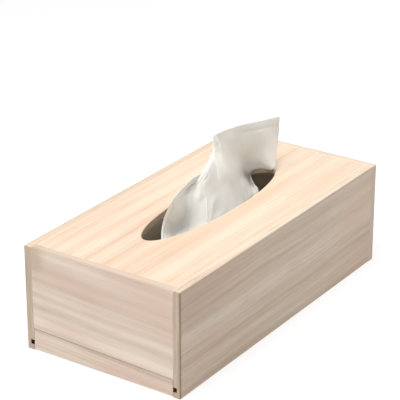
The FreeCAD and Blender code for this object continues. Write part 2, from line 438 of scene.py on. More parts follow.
    def laid_out(self, tree: bpy.types.NodeTree) -> bpy.types.NodeSocket:
        """Lay out the board's own coordinates, with a slow sway.

        Args:
            tree: node tree of the material.

        Returns:
            Millimetres along, across and through the board.
        """
        spot = add_node(tree, "ShaderNodeTexCoord").outputs["Object"]
        split = add_node(tree, "ShaderNodeSeparateXYZ", {0: spot})
        board = add_node(tree, "ShaderNodeCombineXYZ", {
            i: split.outputs[axis] for i, axis in enumerate(self.grain.value)})
        straight = add_node(tree, "ShaderNodeMapping", {
            "Vector": board.outputs[0], "Location": (0.0, self.middle * MM, 0.0),
            "Rotation": (0.0, 0.0, -math.radians(self.slant_degrees)),
            "Scale": (MM, MM, MM)}, vector_type="TEXTURE").outputs[0]
        sway = self.marks(tree, straight, self.sway, -self.wander, self.wander, clamp=False)
        lift = add_node(tree, "ShaderNodeCombineXYZ", {1: sway})
        return add_node(tree, "ShaderNodeVectorMath", {0: straight, 1: lift.outputs[0]},
                        operation="ADD").outputs[0]

    def band_tone(self, tree: bpy.types.NodeTree,
                  place: bpy.types.NodeSocket) -> bpy.types.NodeSocket:
        """Draw the growth bands on a ramp across the board.

        Args:
            tree: node tree of the material.
            place: the board's coordinates in millimetres.

        Returns:
            The bands' tone, which is 0.5 where there is no band.
        """
        across = add_node(tree, "ShaderNodeSeparateXYZ", {0: place}).outputs["Y"]
        share = add_node(tree, "ShaderNodeMapRange", {
            "Value": across, "From Min": -self.half_width,
            "From Max": self.half_width}).outputs[0]
        ramp = add_node(tree, "ShaderNodeValToRGB", {0: share})
        stops = ramp.color_ramp
        stops.interpolation = "EASE"
        for end in stops.elements:
            end.color = (NO_TONE, NO_TONE, NO_TONE, 1.0)
        order = sorted(self.bands, key=lambda band: band.at)
        levels = [(order[0].at - order[0].width / 2, 0.0)]
        for band, following in zip(order, order[1:] + [None]):
            levels.append((band.at, band.tone))
            edge = band.at + band.width / 2
            if following is not None:
                edge = (edge + following.at - following.width / 2) / 2
            levels.append((edge, 0.0))
        for at, tone in levels:
            share_at = 0.5 + (at - self.middle) / (2 * self.half_width)
            if 0.0 < share_at < 1.0:
                stops.elements.new(share_at).color = (*(NO_TONE + tone / 2,) * 3, 1.0)
        return ramp.outputs[0]

    def tone(self, tree: bpy.types.NodeTree,
             place: bpy.types.NodeSocket) -> bpy.types.NodeSocket:
        """Add up the bands, the broad patches, the streaks and the dark flecks.

        Args:
            tree: node tree of the material.
            place: the board's coordinates in millimetres.

        Returns:
            How far the wood goes from early to late, from 0 to 1.
        """
        level = self.ground_tone - sum(layer.swing for layer in self.streaks) / 2
        if self.bands:
            strength = self.marks(
                tree, place, self.strengths,
                *(swing * self.band_strength for swing in self.band_swing))
            centred = add_node(tree, "ShaderNodeMath", {
                0: self.band_tone(tree, place), 1: NO_TONE}, operation="SUBTRACT")
            level = add_node(tree, "ShaderNodeMath", {
                0: centred.outputs[0], 1: strength, 2: level},
                operation="MULTIPLY_ADD").outputs[0]
        for patch in self.patches:
            offset = add_node(tree, "ShaderNodeMapping", {
                "Vector": place, "Location": (patch.along, patch.at - self.middle, 0.0),
                "Scale": (patch.length, patch.width, FAR)}, vector_type="TEXTURE")
            away = add_node(tree, "ShaderNodeVectorMath", {0: offset.outputs[0]},
                            operation="LENGTH").outputs["Value"]
            share = add_node(tree, "ShaderNodeMapRange", {
                "Value": away, "To Min": patch.tone, "To Max": 0.0},
                interpolation_type="SMOOTHSTEP").outputs[0]
            level = add_node(tree, "ShaderNodeMath", {0: share, 1: level},
                             operation="ADD").outputs[0]
        for number, streaks in enumerate(self.streaks):
            level = add_node(tree, "ShaderNodeMath", {
                0: self.noise(tree, place, streaks.layer(number)),
                1: streaks.swing, 2: level}, operation="MULTIPLY_ADD").outputs[0]
        fleck = self.marks(tree, place, self.flecks, most=self.fleck_strength)
        return add_node(tree, "ShaderNodeMath", {0: fleck, 1: level},
                        operation="ADD", use_clamp=True).outputs[0]

    def face_colour(self, tree: bpy.types.NodeTree, place: bpy.types.NodeSocket,
                    tone: bpy.types.NodeSocket) -> bpy.types.NodeSocket:
        """Colour the board's broad faces.

        Args:
            tree: node tree of the material.
            place: the board's coordinates in millimetres.
            tone: how far the wood goes from early to late.

        Returns:
            The colour.
        """
        ground = add_node(tree, "ShaderNodeMix", {
            0: self.marks(tree, place, self.blushes),
            6: linear(self.early), 7: linear(self.blush)}, data_type="RGBA")
        return add_node(tree, "ShaderNodeMix", {
            0: tone, 6: ground.outputs[2], 7: linear(self.late)},
            data_type="RGBA").outputs[2]

    def facing(self, tree: bpy.types.NodeTree, way: tuple[float, float, float],
               either_side: bool = True) -> bpy.types.NodeSocket:
        """Tell which faces look along a direction.

        Args:
            tree: node tree of the material.
            way: the direction.
            either_side: whether a face that looks the opposite way counts too.

        Returns:
            1 on those faces and 0 on the others.
        """
        normal = add_node(tree, "ShaderNodeTexCoord").outputs["Normal"]
        level = add_node(tree, "ShaderNodeVectorMath", {0: normal, 1: way},
                         operation="DOT_PRODUCT").outputs["Value"]
        if either_side:
            level = add_node(tree, "ShaderNodeMath", {0: level},
                             operation="ABSOLUTE").outputs[0]
        return add_node(tree, "ShaderNodeMapRange", {
            "Value": level, "From Min": self.facing_range[0],
            "From Max": self.facing_range[1]}).outputs[0]

    def along_axis(self, number: int) -> tuple[float, float, float]:
        """Unit direction along (0), across (1) or through (2) the board."""
        axis = self.grain.value[number]
        return tuple(1.0 if axis == name else 0.0 for name in "XYZ")

    def in_groove(self, tree: bpy.types.NodeTree) -> bpy.types.NodeSocket:
        """Find the grooves that the sliding bottom runs in.

        Args:
            tree: node tree of the material.

        Returns:
            1 on the grooves' walls and 0 elsewhere.
        """
        low, high = (Vector(corner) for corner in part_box("sliding_bottom"))
        spot = add_node(tree, "ShaderNodeTexCoord").outputs["Object"]
        offset = add_node(tree, "ShaderNodeVectorMath", {0: spot, 1: tuple((low + high) / 2)},
                          operation="SUBTRACT")
        away = add_node(tree, "ShaderNodeVectorMath", {0: offset.outputs[0]},
                        operation="ABSOLUTE")
        reach = (high - low) / 2 + Vector((0.0, *self.groove_margin)) * MM
        split = add_node(tree, "ShaderNodeSeparateXYZ", {0: away.outputs[0]})
        within = add_node(tree, "ShaderNodeMath", {0: split.outputs["Y"], 1: reach.y},
                          operation="LESS_THAN")
        level = add_node(tree, "ShaderNodeMath", {0: split.outputs["Z"], 1: reach.z},
                         operation="LESS_THAN")
        return add_node(tree, "ShaderNodeMath", {0: within.outputs[0], 1: level.outputs[0]},
                        operation="MULTIPLY").outputs[0]

    def painted_corner_shade(self, tree: bpy.types.NodeTree,
                colour: bpy.types.NodeSocket) -> bpy.types.NodeSocket:
        """Paint shade in a thin dark line along the board's rounded corners.

        Args:
            tree: node tree of the material.
            colour: the wood's colour.

        Returns:
            The colour, with the painted shade on its corners.
        """
        if not self.corners:
            return colour
        # Painted shade: where the rounded corner's normal looks a listed corner's way, the
        # colour darkens in a thin line.
        rounded = add_node(tree, "ShaderNodeBevel", {"Radius": self.arris_width * MM},
                           samples=8).outputs[0]
        for corner in self.corners:
            level = add_node(tree, "ShaderNodeVectorMath", {
                0: rounded, 1: tuple(Vector(corner.way).normalized())},
                operation="DOT_PRODUCT").outputs["Value"]
            corner_shade = add_node(tree, "ShaderNodeMapRange", {
                "Value": level, "From Min": self.arris_range[0],
                "From Max": self.arris_range[1], "To Max": corner.strength})
            colour = add_node(tree, "ShaderNodeMix", {
                0: corner_shade.outputs[0], 6: colour, 7: linear(self.arris_shade)},
                data_type="RGBA").outputs[2]
        return colour

    def build(self) -> bpy.types.Material:
        """Make the material.

        Returns:
            The finished wood, with a different cut on its faces, edges and ends.
        """
        material, tree = new_material(self.name)
        place = self.laid_out(tree)
        tone = self.tone(tree, place)
        inward = tuple(-side for side in self.outward)
        # Where each cut of the wood shows, its marks, and its colours between and on them.
        cuts = [
            # Inner faces: pale as fresh wood, and paler still as painted light for the dim
            # inside of the box.
            (self.facing(tree, inward, False), tone, self.inner, self.inner_late),
            (self.facing(tree, self.along_axis(1)), tone, self.edge, self.late),
            (self.facing(tree, self.along_axis(0)), self.marks(tree, place, self.rings),
             self.end, self.end_ring),
        ]
        # Painted shade: the grooves' walls are coloured dark brown for the shade deep in
        # them.
        if self.grooved:
            cuts.insert(2, (self.in_groove(tree), tone, self.groove_shade, self.groove_shade))
        colour = self.face_colour(tree, place, tone)
        for share, marks, between, on in cuts:
            coat = add_node(tree, "ShaderNodeMix", {
                0: marks, 6: linear(between), 7: linear(on)}, data_type="RGBA")
            colour = add_node(tree, "ShaderNodeMix", {
                0: share, 6: colour, 7: coat.outputs[2]}, data_type="RGBA").outputs[2]
        colour = self.painted_corner_shade(tree, colour)
        # The open pores are lines 0.2 mm wide, drawn here as 0.9 mm so that they show.
        bump = add_node(tree, "ShaderNodeBump", {
            "Height": self.noise(tree, place, self.pores),
            "Strength": 0.25, "Distance": self.pore_depth * MM})
        # Sanded bare wood scatters light, so only a dull gleam is left at low angles.
        surface = add_node(tree, "ShaderNodeBsdfPrincipled", {
            "Base Color": colour, "Roughness": 0.72, "IOR": 1.45,
            "Normal": bump.outputs[0], "Specular IOR Level": 0.3})
        add_node(tree, "ShaderNodeOutputMaterial", {0: surface.outputs[0]})
        return material


@dataclass(frozen=True)
class FacialTissue:
    """Two-ply facial tissue, creped as it comes off the drying drum.

    It is white with no gloss at all. About half of the light that falls on it goes through,
    so its folds glow where they are lit from behind and never turn dark, and the eye takes
    it for thin. Along the leading edge the paper is double, which lets less light through.

    Attributes:
        name: the material's name.
        white: colour of the light that the paper sends back.
        through: colour of the light that it lets through.
        see_light: share of the light that goes through one sheet.
        hem: width of the double strip along the leading edge.
        hem_blur: how far to either side of its edge the change spreads.
        hem_see_light: share of the light that goes through that strip.
        crepe_scale: crepe lines to the millimetre, along them, across them and through.
        fibre_scale: clumps of fibres to the millimetre.
        depth: how deep crepe and fibres are.
    """

    name: str = "facial_tissue"
    white: str = "#FBFBF8"
    through: str = "#FBFAF5"
    see_light: float = 0.52
    hem: float = HEM
    hem_blur: float = 0.4
    hem_see_light: float = 0.27
    crepe_scale: tuple[float, float, float] = (0.05, 0.9, 1.0)
    fibre_scale: float = 0.6
    depth: float = 0.15

    def build(self) -> bpy.types.Material:
        """Make the material.

        Returns:
            Paper with fine crepe lines and fibres, which lets part of the light through.
        """
        material, tree = new_material(self.name)
        cloth = add_node(tree, "ShaderNodeUVMap", uv_map="sheet").outputs[0]
        # Crepe lines are about 0.3 mm apart and fibres 0.02 mm thick. They are drawn 1.1 mm
        # and 1.7 mm apart, as coarse as they need to be to show at all.
        crepe = add_node(tree, "ShaderNodeMapping", {
            "Vector": cloth, "Scale": self.crepe_scale})
        lines = add_node(tree, "ShaderNodeTexNoise", {
            "Vector": crepe.outputs[0], "Scale": 1.0, "Detail": 2.0}).outputs["Fac"]
        fibres = add_node(tree, "ShaderNodeTexNoise", {
            "Vector": cloth, "Scale": self.fibre_scale, "Detail": 3.0}).outputs["Fac"]
        height = add_node(tree, "ShaderNodeMath", {0: lines, 1: fibres},
                          operation="ADD").outputs[0]
        bump = add_node(tree, "ShaderNodeBump", {
            "Height": height, "Strength": 0.3, "Distance": self.depth * MM})
        paper = add_node(tree, "ShaderNodeBsdfPrincipled", {
            "Base Color": linear(self.white), "Roughness": 0.95,
            "Specular IOR Level": 0.1, "Normal": bump.outputs[0]})
        glow = add_node(tree, "ShaderNodeBsdfTranslucent", {
            "Color": linear(self.through), "Normal": bump.outputs[0]})
        down = add_node(tree, "ShaderNodeSeparateXYZ", {0: cloth}).outputs["Y"]
        plies = add_node(tree, "ShaderNodeMapRange", {
            "Value": down, "From Min": self.hem - self.hem_blur,
            "From Max": self.hem + self.hem_blur,
            "To Min": self.hem_see_light, "To Max": self.see_light})
        both = add_node(tree, "ShaderNodeMixShader", {
            0: plies.outputs[0], 1: paper.outputs[0], 2: glow.outputs[0]})
        add_node(tree, "ShaderNodeOutputMaterial", {0: both.outputs[0]})
        return material


@dataclass(frozen=True)
class LightTable:
    """Opal acrylic sheet, cast and sanded matt, lit from below.

    It gives off nearly as much light as it gets, so the eye sees an even white with no
    texture, on which shadows stay faint.

    Attributes:
        name: the material's name.
        white: its own colour.
        glow: how strongly it is lit from below.
    """

    name: str = "opal_acrylic_table"
    white: str = "#959595"
    glow: float = 0.70

    def build(self) -> bpy.types.Material:
        """Make the material.

        Returns:
            The floor's even white.
        """
        material, tree = new_material(self.name)
        acrylic = add_node(tree, "ShaderNodeBsdfPrincipled", {
            "Base Color": linear(self.white), "Roughness": 0.9,
            "Emission Color": linear("#FFFFFF"), "Emission Strength": self.glow})
        add_node(tree, "ShaderNodeOutputMaterial", {0: acrylic.outputs[0]})
        return material


# ------------------------------------------------------------------------- boards

@dataclass
class Boards:
    """The seven boards of the box, which stay as packed and get their wood.

    Attributes:
        nodes: the frame's objects, by node.
    """

    nodes: dict[str, bpy.types.Object]

    def woods(self) -> dict[str, Paulownia]:
        """Choose each board's piece of wood.

        Returns:
            The grain, bands and colours of each board, by node.
        """
        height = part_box("closed_end_panel")[1][2] / MM
        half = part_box("closed_end_panel")[1][1] / MM
        return {
            "top_panel": Paulownia(
                "paulownia_top", Grain.ALONG_X_LYING, -half, half, seed=2.0,
                # The top's edges and ends are darker: painted shade on the slot's walls,
                # which the top's outer edges get too.
                early="#E9D6C1", late="#DABDA3", blush="#E7CFB9", edge="#BFAC97",
                end="#BFAC97", end_ring="#AE9A84", band_strength=0.8,
                patches=(
                    Patch(-30.0, 44.0, 260.0, 52.0, -0.22),
                    Patch(95.0, 2.0, 75.0, 62.0, -0.35)),
                bands=(
                    GrowthBand(56.5, 5.0, 0.8), GrowthBand(46.0, 5.0, 1.0),
                    GrowthBand(40.0, 5.0, -0.4), GrowthBand(32.0, 5.5, 1.0),
                    GrowthBand(24.5, 7.0, -0.5), GrowthBand(17.0, 5.5, 1.0),
                    GrowthBand(9.5, 7.0, -0.6), GrowthBand(1.5, 6.0, 1.0),
                    GrowthBand(-6.0, 6.0, -0.4), GrowthBand(-14.0, 5.0, 0.6),
                    GrowthBand(-26.0, 11.0, 0.9), GrowthBand(-38.0, 10.0, -0.7),
                    GrowthBand(-49.0, 6.0, 0.5), GrowthBand(-57.0, 4.0, 0.6))),
            "front_side_panel": Paulownia(
                "paulownia_front_side", Grain.ALONG_X_ON_EDGE, 0.0, height,
                (0.0, -1.0, 0.0), seed=11.0, early="#DCCDBC", late="#C2AC98",
                blush="#DAC2B1", band_strength=0.8, grooved=True,
                # Each corner listed here gets a thin line of painted shade.
                corners=(ShadedCorner((-1.0, -1.0, 0.0), 0.7),
                         ShadedCorner((0.0, -1.0, 1.0), 0.15)),
                patches=(
                    # The first patch is painted shade: the side darkens at its top towards
                    # the near end, where less light falls.
                    Patch(-118.0, 70.0, 60.0, 34.0, 0.35),
                    Patch(92.0, 60.0, 75.0, 26.0, -0.3),
                    Patch(-75.0, 3.0, 100.0, 16.0, 0.2)),
                bands=(
                    GrowthBand(71.0, 12.0, 0.4), GrowthBand(59.0, 6.0, 0.7),
                    GrowthBand(43.0, 14.0, -0.8), GrowthBand(33.0, 2.5, 0.7),
                    GrowthBand(24.5, 5.0, 0.6), GrowthBand(10.0, 5.0, 0.4),
                    GrowthBand(3.5, 8.0, 0.8))),
            "back_side_panel": Paulownia(
                "paulownia_back_side", Grain.ALONG_X_ON_EDGE, 0.0, height,
                (0.0, 1.0, 0.0), seed=23.0, edge="#E2CAB2", band_strength=0.7, grooved=True,
                corners=(ShadedCorner((-1.0, 1.0, 0.0), 0.4),
                         ShadedCorner((0.0, 1.0, 1.0), 0.15)),
                bands=(
                    GrowthBand(66.0, 8.0, 0.6), GrowthBand(52.0, 6.0, 0.8),
                    GrowthBand(33.0, 5.0, 0.7), GrowthBand(12.0, 7.0, 0.5))),
            "closed_end_panel": Paulownia(
                "paulownia_closed_end", Grain.ALONG_Y_ON_EDGE, 0.0, height,
                (1.0, 0.0, 0.0), seed=31.0, end="#D6C3B4", end_ring="#C5B19F",
                band_strength=0.7, corners=(ShadedCorner((1.0, 0.0, 1.0), 0.2),),
                bands=(
                    GrowthBand(62.0, 6.0, 0.8), GrowthBand(49.0, 5.0, 0.6),
                    GrowthBand(29.0, 6.0, 0.8), GrowthBand(11.0, 5.0, 0.5))),
            "open_end_panel": Paulownia(
                "paulownia_open_end", Grain.ALONG_Y_ON_EDGE, 0.0, height,
                (-1.0, 0.0, 0.0), seed=41.0, early="#EADBCC", edge="#D9C5B2",
                slant_degrees=-3.0, band_strength=0.9, fleck_strength=0.2,
                corners=(ShadedCorner((-1.0, 0.0, 1.0), 0.2),),
                patches=(
                    Patch(60.0, 70.0, 14.0, 18.0, 0.8),
                    Patch(-15.0, 71.0, 60.0, 12.0, -0.2)),
                streaks=(
                    Streaks(420.0, 9.0, 0.8), Streaks(150.0, 3.2, 0.7),
                    Streaks(55.0, 1.0, 0.4)),
                bands=(
                    GrowthBand(75.0, 8.0, -0.1), GrowthBand(62.0, 6.0, 0.2),
                    GrowthBand(53.0, 6.0, 1.0), GrowthBand(48.0, 4.0, 0.2),
                    GrowthBand(42.5, 5.0, 0.7), GrowthBand(33.5, 6.0, 0.6),
                    GrowthBand(21.0, 9.0, -1.0))),
            "bottom_pull_strip": Paulownia(
                "paulownia_pull_strip", Grain.ALONG_Y_ON_EDGE, 0.0, height,
                (-1.0, 0.0, 0.0), seed=53.0, early="#E8DACB", end="#B7A48F",
                end_ring="#A5917B", slant_degrees=-2.0,
                corners=(ShadedCorner((-1.0, 0.0, 1.0), 0.2),),
                bands=(GrowthBand(13.0, 3.0, 0.7),)),
            "sliding_bottom": Paulownia(
                "paulownia_bottom", Grain.ALONG_X_LYING, -half, half, (0.0, 0.0, -1.0),
                seed=61.0, inner="#EADBC8", inner_late="#D5BEA6", bands=(
                    GrowthBand(38.0, 9.0, 0.7), GrowthBand(12.0, 8.0, 0.6),
                    GrowthBand(-19.0, 8.0, 0.8), GrowthBand(-44.0, 9.0, 0.6))),
        }

    def dress(self) -> None:
        """Put each board's wood on it."""
        for node, wood in self.woods().items():
            put_on(self.nodes[node], wood.build())
            log.info("%s: %s", node, wood.name)


# ------------------------------------------------------------------------ tissues

@dataclass(frozen=True)
class Rib:
    """One line down the pulled sheet.

    Attributes:
        across: where it is in the sheet's width, measured along the leading edge.
        line: places on it, from below the slot to the leading edge.
    """

    across: float
    line: tuple[tuple[float, float, float], ...]


@dataclass(frozen=True)
class Pleat:
    """A sharp fold in the pulled sheet.

    Attributes:
        line: places on it, as millimetres across the sheet and down from its leading edge.
        height: how far it stands out, or below 0 for a valley.
        width: how far its two slopes reach.
    """

    line: tuple[tuple[float, float], ...]
    height: float
    width: float = 2.0

    def stands_out(self, across: float, down: float) -> float:
        """How far this fold lifts the sheet at one place.

        Args:
            across: the place in the sheet's width.
            down: its distance from the leading edge.

        Returns:
            Millimetres, which fall away to either side of the fold.
        """
        spot, gap = Vector((across, down)), math.inf
        for start, end in zip(self.line, self.line[1:]):
            step, offset = Vector(end) - Vector(start), spot - Vector(start)
            part = min(max(offset.dot(step) / step.length_squared, 0.0), 1.0)
            gap = min(gap, (offset - step * part).length)
        return self.height * math.exp(-gap / self.width)


def smooth_through(points: list[Vector], spot: float) -> Vector:
    """Place on the smooth curve through some points.

    Args:
        points: the points, in order.
        spot: 0 at the first point, 1 at the second and so on.

    Returns:
        The place on the curve.
    """
    last = len(points) - 1
    first = min(int(spot), last - 1)
    part = spot - first
    a, b, c, d = (points[min(max(first + i, 0), last)] for i in (-1, 0, 1, 2))
    return 0.5 * ((2 * b) + (c - a) * part + (2 * a - 5 * b + 4 * c - d) * part ** 2
                  + (3 * b - a - 3 * c + d) * part ** 3)


@dataclass
class PulledTissue:
    """The uppermost tissue: half of it stands up through the slot, half lies on the pile.

    The ribs are the ridges and valleys of the part that shows. The sheet runs smoothly from
    one to the next, and a few sharp folds cross it.

    Attributes:
        width: the flat sheet's width, along the box.
        length: its length, half of which is up through the slot.
        thickness: thickness of the mesh, in which both plies are one.
        columns: columns of faces in the sheet's width.
        lying_rows: rows of faces on the pile.
        rising_rows: rows from the pile to the ribs.
        free_rows: rows along the ribs.
        pile_top: height of the pile's top.
        fold_y: where the lying half is folded under.
        foot_y: where the sheet leaves the pile.
        hem: width of the pressed strip along the leading edge.
        crease_width: width of the line pressed below that strip.
        crease_depth: its depth.
        curl: how near the side edge the paper starts to curl.
        crinkle: height of the fine crinkles.
        soft_scale: waves of the crinkles to the millimetre, across the sheet and down it.
        fine_scale: the same for the finer crinkles between them.
        fine_share: height of those, as a share of the others.
        smooth_below: height up to which the sheet has no crinkles.
        crinkles_grow: how far above that they reach their full height.
        handle: how far the sheet runs on straight up off the pile, and into the ribs.
        run_in: share of the ribs' length that gives their direction at the lower end.
        lift: how far above the pile's top it lies.
        under_lift: how far above the pile's top the part folded under lies.
        narrowing: its width on the pile, as a share of the flat width.
        wave: height of its waves there.
        ribs: the lines that shape the part that shows, from left to right.
        pleats: the sharp folds.
    """

    width: float = 200.0
    length: float = 200.0
    thickness: float = 0.2
    columns: int = 160
    lying_rows: int = 30
    rising_rows: int = 24
    free_rows: int = 90
    pile_top: float = 31.0
    fold_y: float = 48.0
    foot_y: float = -3.0
    hem: float = HEM
    crease_width: float = 0.9
    crease_depth: float = 0.7
    curl: float = 1.2
    crinkle: float = 0.35
    soft_scale: tuple[float, float] = (0.09, 0.035)
    fine_scale: tuple[float, float] = (0.22, 0.12)
    fine_share: float = 0.4
    smooth_below: float = 60.0
    crinkles_grow: float = 15.0
    handle: float = 12.0
    run_in: float = 0.04
    lift: float = 0.6
    under_lift: float = 0.1
    narrowing: float = 0.97
    wave: float = 0.2
    ribs: tuple[Rib, ...] = (
        Rib(0.0, ((-66.3, -3.6, 59.4), (-67.5, -4.4, 61), (-68.6, -5.2, 62.6),
                  (-69.7, -5.9, 64.2), (-70.6, -6.6, 65.8), (-75.4, -10.2, 70),
                  (-75.4, -10.2, 71.2), (-74, -9, 71.5), (-72.2, -7.5, 71.6),
                  (-71.7, -7, 72.4))),
        Rib(12.1, ((-67, -6, 70), (-67.1, -6.3, 71.8), (-67.3, -6.8, 73.7),
                  (-67.3, -7, 75.4), (-66.7, -6.8, 76.8), (-66.1, -6.5, 78.1),
                  (-66.3, -5.7, 79), (-65.9, -4.7, 80.1), (-65.5, -3.7, 81.1),
                  (-63.8, -2.3, 82.1))),
        Rib(19.5, ((-64.9, -7.9, 71.9), (-63.7, -7.8, 73.7), (-64.9, -9.2, 76.7),
                  (-61, -7, 76.9), (-59.7, -5.6, 77.9), (-60.1, -4.5, 79.4),
                  (-60.5, -3.4, 81.7), (-60.6, -2.7, 84.1), (-60.3, -2, 86.6),
                  (-60.1, -1.4, 89.3))),
        Rib(27.1, ((-62, -10.2, 72.6), (-59.8, -9.7, 75.1), (-53.7, -6, 75.3),
                  (-53.2, -4.4, 77.6), (-54.1, -3.8, 80.7), (-55, -3.4, 84.1),
                  (-55.7, -3.2, 87.3), (-56.3, -3.1, 90.5), (-56.6, -3, 93.6),
                  (-56.8, -3, 96.9))),
        Rib(36.6, ((-56.1, -11.4, 73.2), (-49.8, -8.4, 73.9), (-43.6, -4.3, 74.6),
                  (-43.9, -3, 78.2), (-44.6, -2.6, 82.4), (-47.5, -3.8, 87.8),
                  (-50.5, -5.3, 93.4), (-51.7, -5.8, 97.8), (-51.8, -5.7, 101.5),
                  (-53.4, -6.8, 106))),
        Rib(62.2, ((-47.1, -13.2, 72.6), (-40.9, -9.5, 73.4), (-35.8, -5.6, 74.9),
                  (-34.9, -3.7, 78.7), (-34.2, -2.4, 82.8), (-33.4, -1.4, 87),
                  (-31.7, 0, 90.7), (-28.3, 2.6, 93.6), (-24, 5.6, 96),
                  (-27.3, 3.4, 102.4))),
        Rib(72.9, ((-42.1, -16.7, 73.1), (-38.1, -13.9, 74.9), (-32.6, -10, 76.5),
                  (-28.9, -7, 80.2), (-25.9, -4.4, 84.3), (-23, -1.9, 88.4),
                  (-19.6, 0.9, 92.2), (-16.2, 3.5, 95.7), (-13.4, 5.3, 98.9),
                  (-15.6, 3.6, 104.4))),
        Rib(80.9, ((-32.6, -16.2, 72.6), (-29.6, -16.3, 76.7), (-24.3, -13.9, 80.3),
                  (-20.1, -10.6, 84.8), (-16.2, -7.2, 89.2), (-14.5, -3.9, 93.9),
                  (-12.4, -0.1, 98.2), (-10.3, 1.3, 101), (-8.3, 2.4, 103.1),
                  (-6.9, 3.1, 105.4))),
        Rib(90.2, ((-32.5, -17, 74.6), (-27.3, -16.7, 77.9), (-21.2, -14.1, 81.4),
                  (-17.3, -10.9, 85.9), (-13.7, -7.3, 90.3), (-10.5, -4, 95),
                  (-8.2, -1.9, 100), (-5.1, -0.3, 103.4), (-1.8, 1.4, 106.3),
                  (2.9, 4.1, 108.3))),
        Rib(100.9, ((-26.5, -17.8, 74.7), (-20.9, -17.3, 78), (-15.3, -14.5, 82.1),
                  (-11.5, -11.5, 86.8), (-5.8, -7, 90.9), (-2.1, -4, 96.1),
                  (0.7, -1.9, 101.6), (3.6, 0.3, 106.2), (7, 2.8, 110.1),
                  (13.5, 7.5, 112.3))),
        Rib(106.5, ((-18.8, -18.5, 74.5), (-12.7, -17.8, 78), (-5.8, -14, 81.5),
                  (-1.5, -10.3, 86.4), (2.1, -6.8, 91.8), (5, -4.4, 97.7),
                  (7.5, -2.1, 103.9), (9.7, 0.7, 109.2), (12.9, 4.4, 113.4),
                  (17.3, 9, 117))),
        Rib(111.3, ((-11.6, -19, 74.5), (-2.5, -17.5, 77.1), (2.7, -14.2, 81.8),
                  (5.3, -10.7, 87.6), (7.9, -7.8, 93.7), (8.5, -6, 100.5),
                  (9.5, -3.9, 107.1), (11.6, -0.5, 113.1), (14.5, 3.7, 117.6),
                  (19.1, 9.3, 121.9))),
        Rib(121.5, ((-2.5, -19.4, 74.4), (7.2, -18.2, 77.7), (11.8, -15.5, 82.6),
                  (13.9, -12.3, 89.1), (14.3, -10.3, 95.9), (14.5, -8.1, 102.7),
                  (17.1, -4.5, 108.6), (16.9, -2.1, 116.1), (13.8, -0.1, 123.5),
                  (12.2, 3.6, 128.8))),
        Rib(129.3, ((7.2, -19.6, 74.6), (16.1, -18.6, 78), (20.8, -15.3, 82.2),
                  (22.4, -11.8, 87.6), (27.1, -6.6, 92.8), (31.8, -1.5, 97.9),
                  (38.8, 5, 101.5), (36.4, 5.6, 109.6), (33.2, 6.2, 117.8),
                  (20, 0.5, 130.5))),
        Rib(157.5, ((16.5, -19.5, 74.9), (28.7, -16.4, 77.6), (33.8, -11.5, 80.8),
                  (39.5, -5.6, 83.3), (56.4, 6.7, 81.5), (57, 8.1, 89.7),
                  (58.1, 8.3, 97.9), (54.1, 5.8, 107.7), (53, 5.8, 115.5),
                  (50.2, 4.7, 124.3))),
        Rib(178.9, ((25.5, -18.3, 74.3), (41.6, -12.6, 75.9), (52.9, -3.8, 74.5),
                  (62.9, 4.7, 72.7), (68.9, 10, 75.1), (66.3, 6.8, 86.9),
                  (71.9, 0.6, 92.6), (74.3, 0.4, 101.5), (73.6, 1, 111.5),
                  (73.5, 2.3, 120.9))),
        Rib(200.0, ((31.8, -17.6, 74.2), (48.7, -11.7, 74.7), (57.2, -1.8, 77.1),
                  (67.8, 7.7, 77.8), (71.9, 7.6, 80.1), (78, 2.9, 80.8),
                  (75, -8.3, 83.6), (84.5, -4.6, 91.6), (95.5, 0.7, 102.5),
                  (96.4, 0.3, 117.3))),
    )
    pleats: tuple[Pleat, ...] = (
        Pleat(((81.4, 9.4), (80.0, 12.6), (78.0, 16.4)), 1.3, 1.8),
        Pleat(((73.0, 11.0), (77.7, 8.0), (82.5, 7.6), (88.3, 11.8), (94.0, 15.4)),
              -0.8, 1.3),
        Pleat(((77.5, 19.6), (81.2, 19.8)), -0.6, 1.2),
        Pleat(((86.0, 26.5), (84.0, 29.0), (82.8, 34.1), (83.7, 40.5)), 0.7),
        Pleat(((102.6, 44.0), (102.6, 50.5)), -0.6, 1.6),
        Pleat(((107.2, 22.0), (107.0, 28.9), (106.4, 33.5)), 0.35, 1.4),
    )

    def free(self, spot: float, share: float) -> Vector:
        """Place on the part of the sheet that the ribs shape.

        Args:
            spot: which rib, counted from 0 at the left.
            share: 0 below the slot and 1 at the leading edge.

        Returns:
            The point, in millimetres.
        """
        first = min(max(int(spot) - 1, 0), len(self.ribs) - 4)
        near = [smooth_through([Vector(p) for p in rib.line], share * (len(rib.line) - 1))
                for rib in self.ribs[first:first + 4]]
        if first < int(spot) - 1:
            near, first = near[1:], first + 1
        return smooth_through(near, spot - first)

    def across(self, spot: float) -> float:
        """Place in the sheet's width.

        Args:
            spot: which rib, counted from 0 at the left.

        Returns:
            Millimetres from the sheet's left edge.
        """
        first = min(int(spot), len(self.ribs) - 2)
        left, right = self.ribs[first].across, self.ribs[first + 1].across
        return left + (right - left) * (spot - first)

    def rising(self, spot: float, share: float) -> Vector:
        """Place on the part between the pile and the ribs.

        Args:
            spot: which rib, counted from 0 at the left.
            share: 0 at the pile and 1 where the ribs start.

        Returns:
            The point, in millimetres.
        """
        top, above = self.free(spot, 0.0), self.free(spot, self.run_in)
        turn = top - (above - top).normalized() * self.handle
        foot = Vector((self.lying_x(spot), self.foot_y, self.pile_top + self.lift))
        stand = foot + Vector((0.0, 0.0, self.handle))
        rest = 1 - share
        return (foot * rest ** 3 + stand * (3 * rest ** 2 * share)
                + turn * (3 * rest * share ** 2) + top * share ** 3)

    def lying_x(self, spot: float) -> float:
        """Place along the box of the half that lies on the pile."""
        return (self.across(spot) - self.width / 2) * self.narrowing

